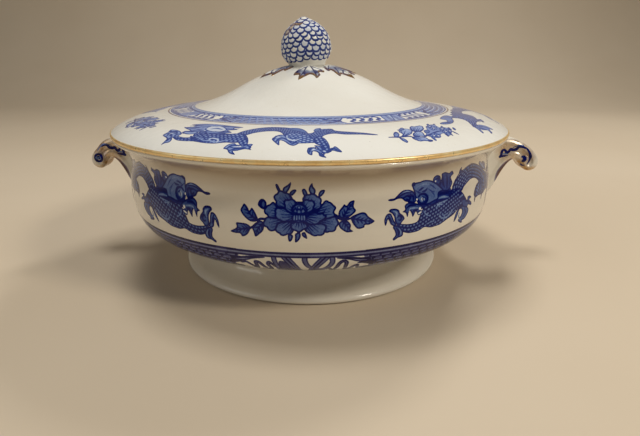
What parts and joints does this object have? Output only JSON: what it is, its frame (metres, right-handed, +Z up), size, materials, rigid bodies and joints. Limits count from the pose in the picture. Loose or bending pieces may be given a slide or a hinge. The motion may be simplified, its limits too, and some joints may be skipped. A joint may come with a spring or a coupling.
{
  "type": "soup tureen",
  "caption": "Round covered soup tureen of printed earthenware: bowl on a spreading foot ring, scroll handles, domed lift-off cover with cone finial and leaf sprigs.",
  "frame": {"origin": "on the table, at the centre of the foot ring", "axes": "+Z up along the bowl's axis; the two handles lie along X; +Y away from the viewer"},
  "size_m": [0.29, 0.24, 0.1499],
  "materials": {
    "glaze": "gloss, warm white lead glaze over cream earthenware",
    "cobalt": "gloss, underglaze cobalt blue print",
    "gilding": "worn matt gilding along the edge"
  },
  "bodies": {
    "tureen": {"bowl": "glaze", "foot_ring": "glaze", "handle_left": "glaze", "handle_right": "glaze"},
    "cover": {"lid": "glaze", "lid_flange": "glaze", "finial_cone": "glaze", "finial_leaves": "cobalt"}
  },
  "joints": [
    {"name": "lid_lift", "type": "slide", "parent": "tureen", "child": "cover", "axis": [0, 0, 1], "range_m": [0, 0.12]}
  ]
}
